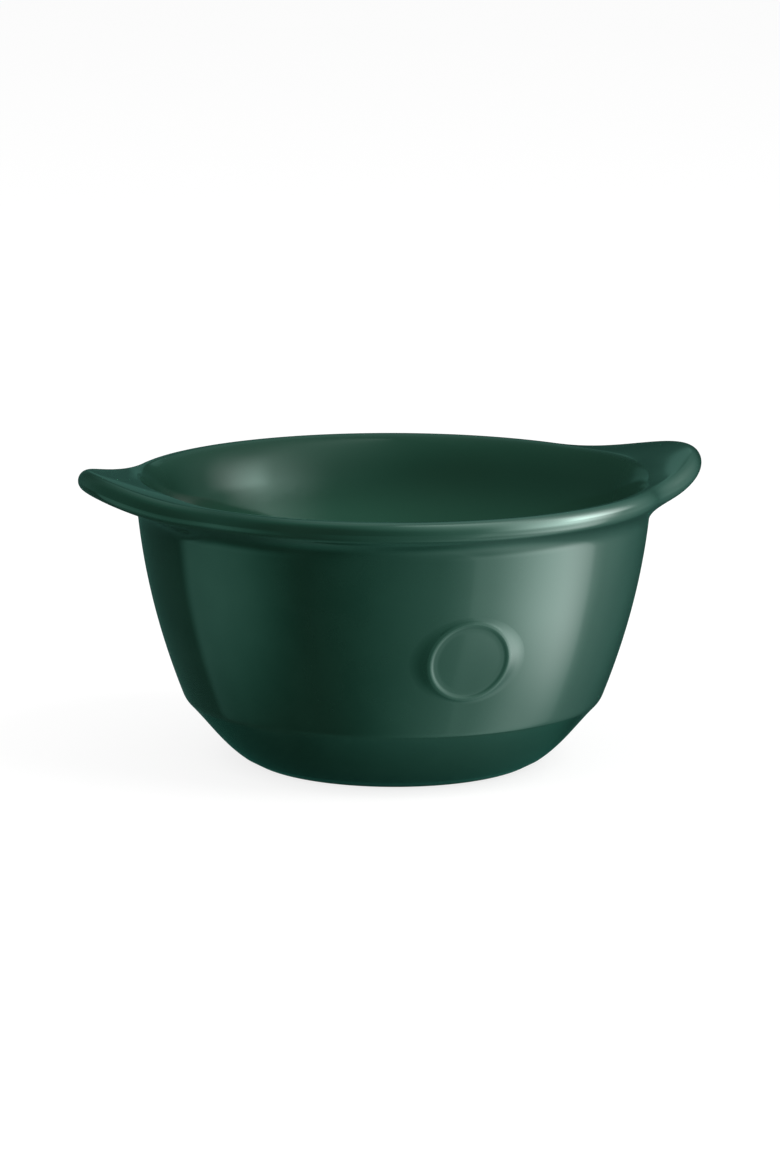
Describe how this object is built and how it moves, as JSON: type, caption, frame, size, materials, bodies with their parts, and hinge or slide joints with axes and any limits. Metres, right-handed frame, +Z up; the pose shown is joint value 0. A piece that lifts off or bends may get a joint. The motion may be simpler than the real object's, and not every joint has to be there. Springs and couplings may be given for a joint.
{
  "type": "soup crock",
  "caption": "Round glazed stoneware soup bowl with a flared side, a rounded lip turned outwards, lug handles drawn up out of the rim, a narrow foot ring and a plain round seal with a raised ring on its front wall.",
  "frame": {"origin": "on the bowl's axis, in the plane of the foot ring's bearing face, where the crock stands", "axes": "+Z up; X runs through both handles; -Y is the front, with the seal ring"},
  "size_m": [0.162, 0.137, 0.0768],
  "materials": {
    "green_glaze": "dark green gloss glaze over stoneware",
    "bare_clay": "bare fired clay on the bearing face, glaze run down its outside"
  },
  "bodies": {
    "root": {"bowl_body": "green_glaze", "foot_ring": "bare_clay", "front_rim": "green_glaze", "rear_rim": "green_glaze", "left_handle": "green_glaze", "right_handle": "green_glaze", "seal_ring": "green_glaze"}
  },
  "joints": []
}
